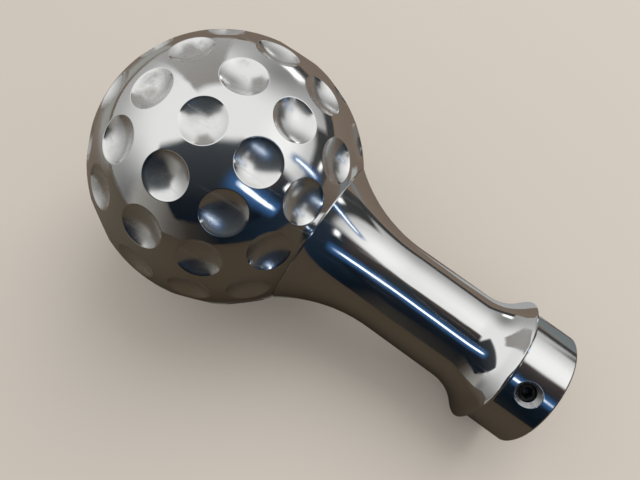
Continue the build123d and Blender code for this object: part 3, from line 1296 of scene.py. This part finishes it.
def stand_cards(stage):
    """Cards and lights round the knob: name, shader, soft margins, turns, lifts and distance."""
    white = tuple(stage.sky)
    side, grey = plain_card(stage.side_card), plain_card(stage.grey_card)
    cards = (
        ("card_front", dark_card, (0.07, 0.09), (109, 255), (-16, 76), 0.70),
        ("card_low", side, (0.05, 0.30), (18, 70), (-5, 9), 0.74),
        ("card_side", side, (0.10, 0.25), (62, 120), (-6, 21), 0.74),
        ("card_grey", grey, (0.12, 0.12), (-37, -3), (-4, 60), 0.74),
        ("card_left", light_card(white, 0.15), (0.5, 0.5), (212, 288), (-40, 42), 0.76),
        ("card_far", light_card(white, 0.24), (0.5, 0.5), (-10, 64), (-20, 62), 0.76),
        ("card_bright", light_card(white, 0.97), (0.45, 0.45), (56, 124), (22, 68), 0.72),
        ("strip_short", strip_card(stage, 2.0), (0.5, 0.2), (92, 104), (0, 38), 0.66),
        ("strip_far", light_card(white, 1.4), (0.3, 0.3), (17, 36), (6, 16), 0.70),
        ("spot_side", light_card(white, 1.6), (0.4, 0.4), (116, 126), (20, 26), 0.66),
        ("spot_low", light_card(white, 1.3), (0.4, 0.4), (85, 94), (5, 11), 0.66),
    )
    for name, shader, margins, turns, lifts, distance in cards:
        make_card(name, shader, margins, card_points(stage, turns, lifts, distance), CARD_ROWS)


def hold_near_cards(stage):
    """Cards beside the camera: name, shader, soft margins, both ends, width and added distance."""
    cards = (
        ("near_dark", near_card, (0.06, 0.10), (-0.023, -0.070), (-0.023, 0.038), 0.130, 0.0),
        ("near_strip", strip_card(stage, 2.0), (0.5, 0.16), (0.076, -0.068), (-0.012, 0.004), 0.036, 0.002),
    )
    for name, shader, margins, start, end, width, ahead in cards:
        make_card(name, shader, margins, near_points(stage, start, end, width, ahead), 2)


def lay_sheets(stage, ball):
    """The wide sheet on the floor, then smaller ones, all painted reflections of shade, highlight and sheen:
    name, colour, soft margins and corners.
    """
    # Painted reflection of a darker, shaded floor, seen only in the metal
    make_card("sheet_shaded_floor_reflection", shaded_floor_reflection_card, (1e-5, 0.006), ring_points(stage, ball), 2)
    sheets = (
        # Painted dark reflection along the collar
        ("sheet_painted_dark_reflection", stage.painted_dark_reflection, (0.04, 0.10),
         ((0.060, -0.018), (0.40, 0.17), (0.064, 0.016), (0.40, 0.22))),
        # Painted reflection on the flange's top
        ("sheet_painted_flange_reflection", stage.painted_flange_reflection, (0.15, 0.10),
         ((0.045, -0.008), (0.064, -0.008), (0.045, 0.036), (0.070, 0.036))),
        # Painted sheen of the floor, lightening the ball's left edge
        ("sheet_painted_floor_sheen", stage.painted_floor_sheen, (0.15, 0.25),
         ((-0.117, 0.008), (-0.059, 0.102), (-0.816, -0.017), (-0.355, 0.736))),
    )
    for name, shade, margins, corners in sheets:
        make_card(name, plain_card(shade), margins, sheet_points(stage, corners), 2)


def floor_material(stage):
    """Plain pale floor, solid from above and clear from below so that it hides nothing."""
    material, tree = bare_material("pale_floor")
    clear = node(tree, "ShaderNodeBsdfTransparent").outputs[0]
    below = node(tree, "ShaderNodeNewGeometry").outputs["Backfacing"]
    mixed = node(tree, "ShaderNodeMixShader", in_0=below, in_1=matt(tree, (*stage.floor, 1.0)), in_2=clear)
    node(tree, "ShaderNodeOutputMaterial", in_Surface=mixed.outputs[0])
    return material


def make_floor(stage, ball):
    """Floor that the ball and the collar's end touch, as the knob lies in its picture."""
    up, away, right = stage_axes(stage)
    middle = Vector((0, 0, ball.centre)) - up * ball.radius
    points = [middle + (right * x + away * y) * FLOOR_REACH for y in (-1, 1) for x in (-1, 1)]
    stage_object("floor", points, 2, floor_material(stage))


def make_world(stage):
    """Even soft light that is brightest overhead and dims towards the floor's horizon."""
    world = bpy.data.worlds.new("soft_light")
    bpy.context.scene.world = world
    world.use_nodes = True
    tree = world.node_tree
    tree.nodes.clear()
    outwards = node(tree, "ShaderNodeTexCoord").outputs["Generated"]
    lift = node(
        tree, "ShaderNodeVectorMath", operation="DOT_PRODUCT", in_0=outwards, in_1=stage_axes(stage)[0]
    ).outputs["Value"]
    level = ramp(tree, lift, 0.0, SKY_FULL, stage.sky_low, stage.sky_top)
    background = node(tree, "ShaderNodeBackground", in_Color=(*stage.sky, 1.0), in_Strength=level)
    node(tree, "ShaderNodeOutputWorld", in_Surface=background.outputs[0])


def make_camera(stage):
    """Camera at the picture's viewing angle."""
    data = bpy.data.cameras.new("camera")
    data.sensor_width = SENSOR_WIDTH
    data.sensor_fit = "HORIZONTAL"
    data.lens = stage.lens
    data.clip_start = CLIP_START
    camera = new_object("camera", data)
    back = -Vector(stage.forward).normalized()
    up = Vector(stage.up)
    right = up.cross(back).normalized()
    up = back.cross(right)
    camera.matrix_world = Matrix.Translation(stage.camera) @ Matrix((right, up, back)).transposed().to_4x4()
    bpy.context.scene.camera = camera


def make_lamp(stage):
    """A square soft lamp that faces the knob and isn't mirrored in it."""
    data = bpy.data.lights.new("key", "AREA")
    data.size = stage.lamp_size
    data.energy = stage.lamp_power
    data.color = stage.lamp
    lamp = new_object("key", data)
    outwards = bearing_to(stage, math.degrees(stage.lamp_turn), math.degrees(stage.lamp_lift))
    lamp.location = STAGE_MIDDLE + outwards * stage.lamp_distance
    lamp.rotation_euler = outwards.to_track_quat("Z", "Y").to_euler()
    lamp.visible_glossy = False


# Operators


class KNOB_OT_ball(Operator):
    """Make the dimpled ball"""

    bl_idname = "gear_knob.make_ball"
    bl_label = "Make ball"

    def execute(self, context):
        ball, finish = context.scene.knob_ball, context.scene.knob_finish
        piece = new_object("dimpled_ball", dimple_net(ball))
        reach, bowl_angle, (lip_out, lip_across), lip_angle = dimple_section(ball)
        evaluate_nodes(piece, dimple_tree(), {
            "Ball centre": (0.0, 0.0, ball.centre),
            "Bowl centre": reach,
            "Bowl radius": ball.tool,
            "Bowl angle": bowl_angle,
            "Lip out": lip_out,
            "Lip across": lip_across,
            "Lip radius": ball.lip,
            "Lip angle": lip_angle,
            "Polish": polished_metal("polished_ball", finish, ball_wear),
        })
        dress(piece, "knob", "ball_head")
        return {"FINISHED"}


class KNOB_OT_stem(Operator):
    """Make the turned stem with its tapped hole"""

    bl_idname = "gear_knob.make_stem"
    bl_label = "Make stem"

    def execute(self, context):
        stem, screw = context.scene.knob_stem, context.scene.knob_screw
        bm = bmesh.new()
        bm.verts.layers.float.new("machined")
        outline, bore_rows, collar_rows = stem_outline(stem, screw)
        rows = turn_outline(bm, outline, (bore_rows, collar_rows))
        tapped_hole(bm, opening_edge(rows, collar_rows), opening_edge(rows, bore_rows), stem, screw)
        mesh = bmesh_to_mesh(bm, "turned_stem")
        mesh.set_sharp_from_angle(angle=math.radians(STEM_SHARP))
        mesh.materials.append(polished_metal("polished_stem", context.scene.knob_finish, stem_wear_and_shade))
        dress(new_object("turned_stem", mesh), "knob", "stem")
        return {"FINISHED"}


class KNOB_OT_screw(Operator):
    """Make the blackened set screw"""

    bl_idname = "gear_knob.make_screw"
    bl_label = "Make set screw"

    def execute(self, context):
        mesh = screw_mesh(context.scene.knob_screw)
        mesh.set_sharp_from_angle(angle=math.radians(SCREW_SHARP))
        mesh.materials.append(black_oxide(context.scene.knob_finish))
        dress(new_object("set_screw_black", mesh), "screw", "set_screw")
        return {"FINISHED"}


class KNOB_OT_stage(Operator):
    """Make the camera, the pale floor and the soft light"""

    bl_idname = "gear_knob.make_stage"
    bl_label = "Make stage"

    def execute(self, context):
        stage, ball = context.scene.knob_stage, context.scene.knob_ball
        context.scene.view_settings.view_transform = "Standard"
        make_camera(stage)
        make_world(stage)
        make_floor(stage, ball)
        stand_cards(stage)
        hold_near_cards(stage)
        lay_sheets(stage, ball)
        make_lamp(stage)
        return {"FINISHED"}


class KNOB_PT_panel(Panel):
    """Lists the knob's steps and settings"""

    bl_idname = "KNOB_PT_panel"
    bl_label = "Gear knob"
    bl_space_type = "VIEW_3D"
    bl_region_type = "UI"
    bl_category = "Gear knob"

    def draw(self, context):
        for operator in OPERATORS:
            self.layout.operator(operator.bl_idname)
        for name, group in GROUPS.items():
            box = self.layout.box()
            box.label(text=group.__doc__)
            for setting in group.__annotations__:
                box.prop(getattr(context.scene, name), setting)


GROUPS = {
    "knob_ball": BallSettings,
    "knob_stem": StemSettings,
    "knob_screw": ScrewSettings,
    "knob_finish": FinishSettings,
    "knob_stage": StageSettings,
}
OPERATORS = (KNOB_OT_stage, KNOB_OT_ball, KNOB_OT_stem, KNOB_OT_screw)
CLASSES = (*GROUPS.values(), *OPERATORS, KNOB_PT_panel)


def register():
    for each in CLASSES:
        bpy.utils.register_class(each)
    for name, group in GROUPS.items():
        setattr(bpy.types.Scene, name, PointerProperty(type=group))


def unregister():
    for name in GROUPS:
        delattr(bpy.types.Scene, name)
    for each in reversed(CLASSES):
        bpy.utils.unregister_class(each)


def main():
    register()
    bpy.ops.gear_knob.make_stage()
    bpy.ops.gear_knob.make_ball()
    bpy.ops.gear_knob.make_stem()
    bpy.ops.gear_knob.make_screw()


if __name__ == "__main__":
    main()
